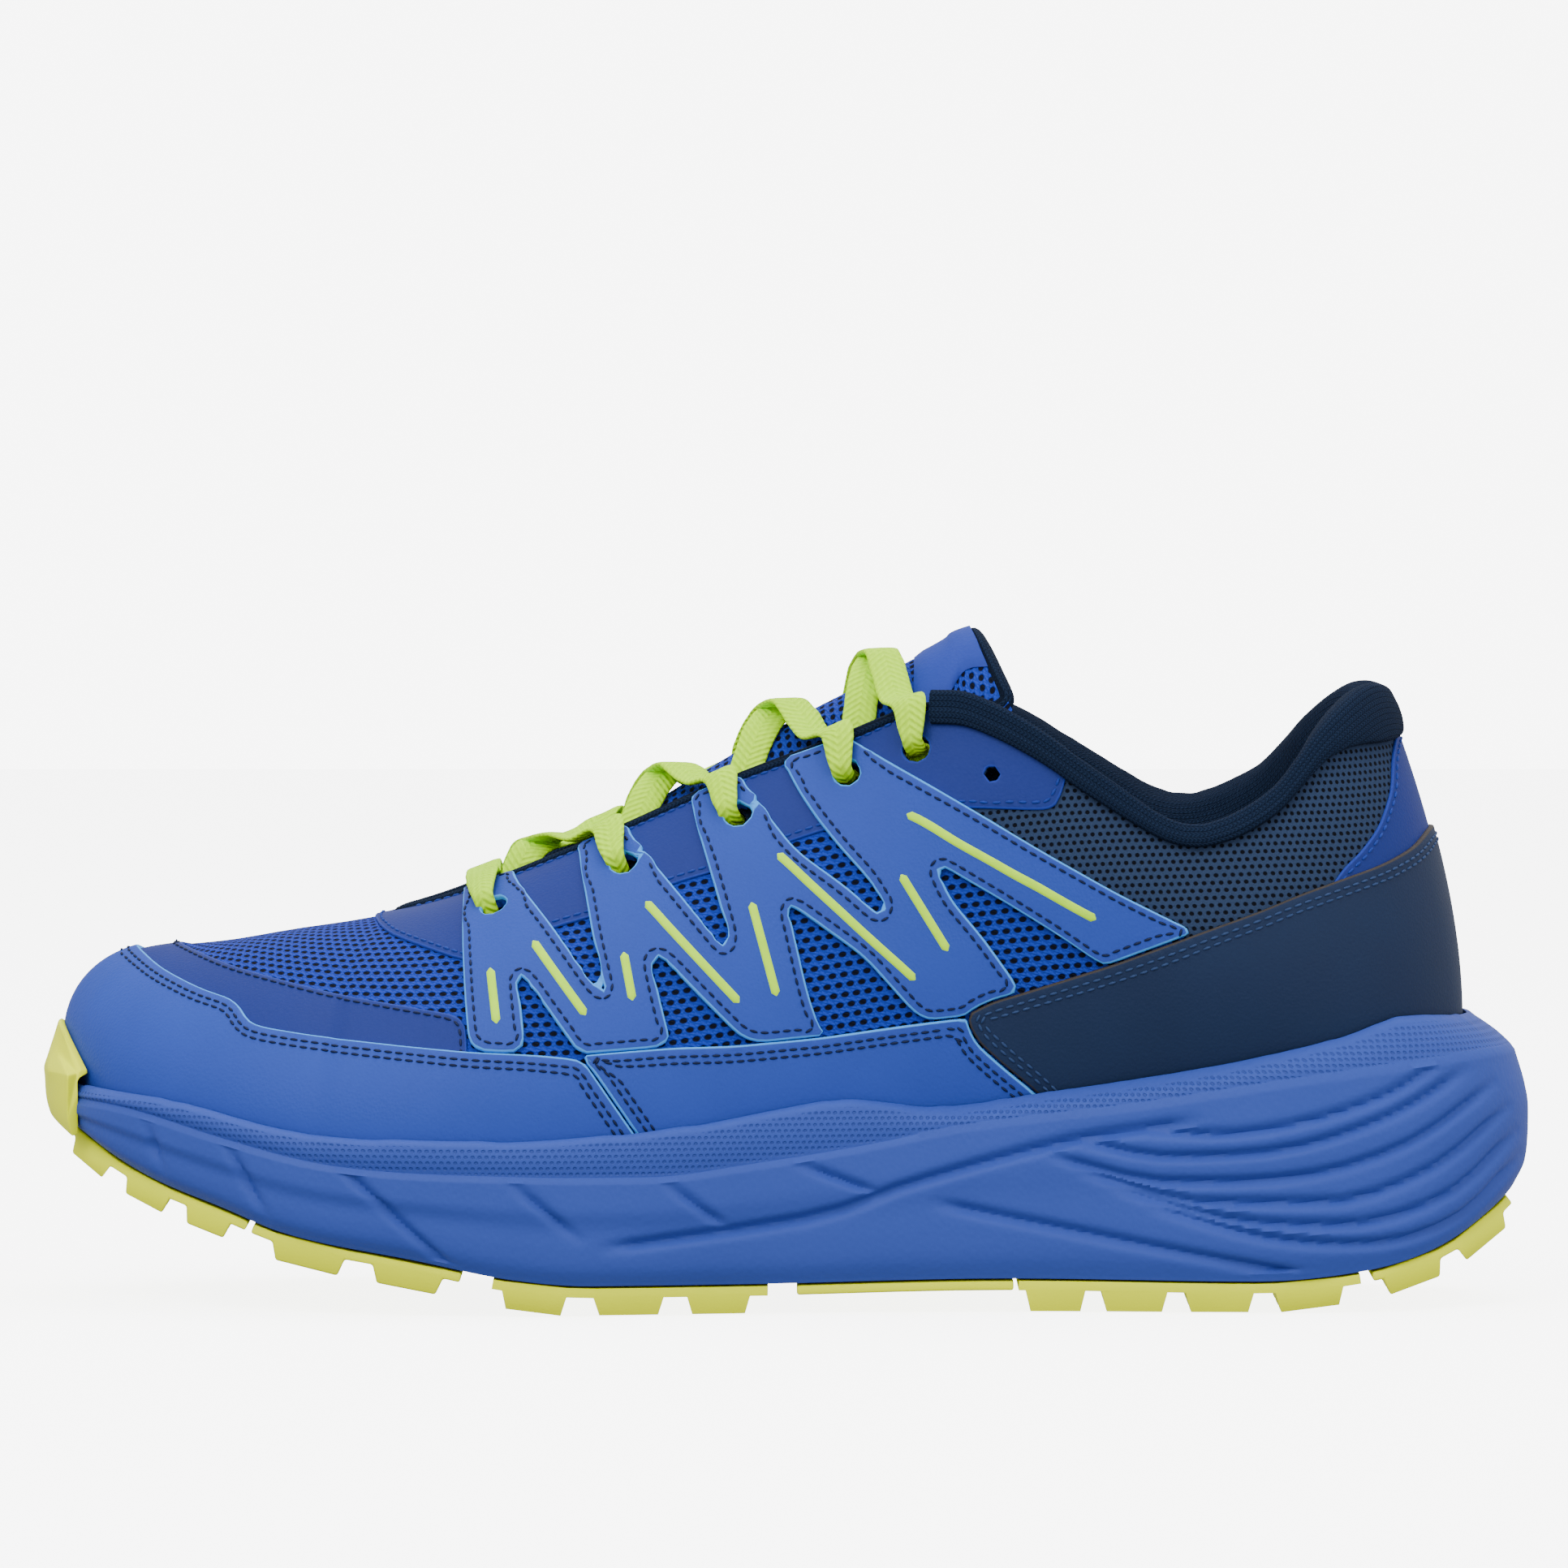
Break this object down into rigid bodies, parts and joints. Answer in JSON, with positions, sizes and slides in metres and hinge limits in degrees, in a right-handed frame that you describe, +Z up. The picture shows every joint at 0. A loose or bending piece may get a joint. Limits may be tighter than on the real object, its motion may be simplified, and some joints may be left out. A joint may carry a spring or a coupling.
{
  "type": "trail running shoe",
  "caption": "Left trail running shoe: mesh upper with welded and stitched overlays, padded tongue and collar, laces, foam midsole and lugged rubber outsole.",
  "frame": {"origin": "on the ground under the middle of the shoe's bounding box", "axes": "toe towards -X, lateral side towards -Y, +Z up"},
  "size_m": [0.2984, 0.1028, 0.1352],
  "materials": {
    "blue_mesh": "open engineered mesh, bright zigzag yarn over dark holes",
    "navy_mesh": "spacer mesh",
    "navy_knit": "soft knitted lining",
    "vamp_lining": "thin tricot lining",
    "foam": "open-cell collar and tongue foam",
    "stiffener": "thermoplastic stiffener sheet",
    "blue_film": "smooth welded film, satin",
    "blue_synthetic": "matte microfibre synthetic",
    "navy_synthetic": "matte microfibre synthetic",
    "eva": "moulded foam, fine leather grain",
    "lime_rubber": "moulded rubber, matt",
    "board": "non-woven lasting board",
    "insole_foam": "moulded foam",
    "insole_cover": "brushed knit",
    "lime_lace": "flat woven polyester",
    "aglet": "clear tinted film tip"
  },
  "bodies": {
    "shoe": {"outsole_toe": "lime_rubber", "outsole_toe_bumper": "lime_rubber", "outsole_forefoot_front": "lime_rubber", "outsole_forefoot_rear": "lime_rubber", "outsole_arch_plate": "lime_rubber", "outsole_heel": "lime_rubber", "outsole_heel_strike": "lime_rubber", "midsole": "eva", "strobel_board": "board", "vamp_mesh": "blue_mesh", "collar_mesh": "navy_mesh", "vamp_lining": "vamp_lining", "collar_lining": "navy_knit", "collar_foam": "foam", "toe_puff": "stiffener", "heel_counter": "stiffener", "toe_film": "blue_film", "eyestay": "blue_film", "toe_cap": "blue_synthetic", "foxing_lateral": "blue_synthetic", "foxing_medial": "blue_synthetic", "cage_lateral": "blue_synthetic", "cage_medial": "blue_synthetic", "heel_patch": "blue_film", "heel_wrap": "navy_synthetic", "lace": "lime_lace", "aglet_lateral": "aglet", "aglet_medial": "aglet"},
    "tongue": {"tongue_shell": "blue_mesh", "tongue_foam": "foam", "tongue_lining": "navy_knit", "tongue_patch": "blue_film", "tongue_binding": "navy_knit"},
    "insole": {"insole_foam": "insole_foam", "insole_cover": "insole_cover"}
  },
  "joints": [
    {"name": "tongue_hinge", "type": "hinge", "parent": "shoe", "child": "tongue", "pos_m": [-0.07, 0, 0.074], "axis": [0, 1, 0], "range_deg": [0, 7]},
    {"name": "insole_lift", "type": "hinge", "parent": "shoe", "child": "insole", "pos_m": [-0.128, 0, 0.032], "axis": [0, -1, 0], "range_deg": [0, 4]}
  ]
}
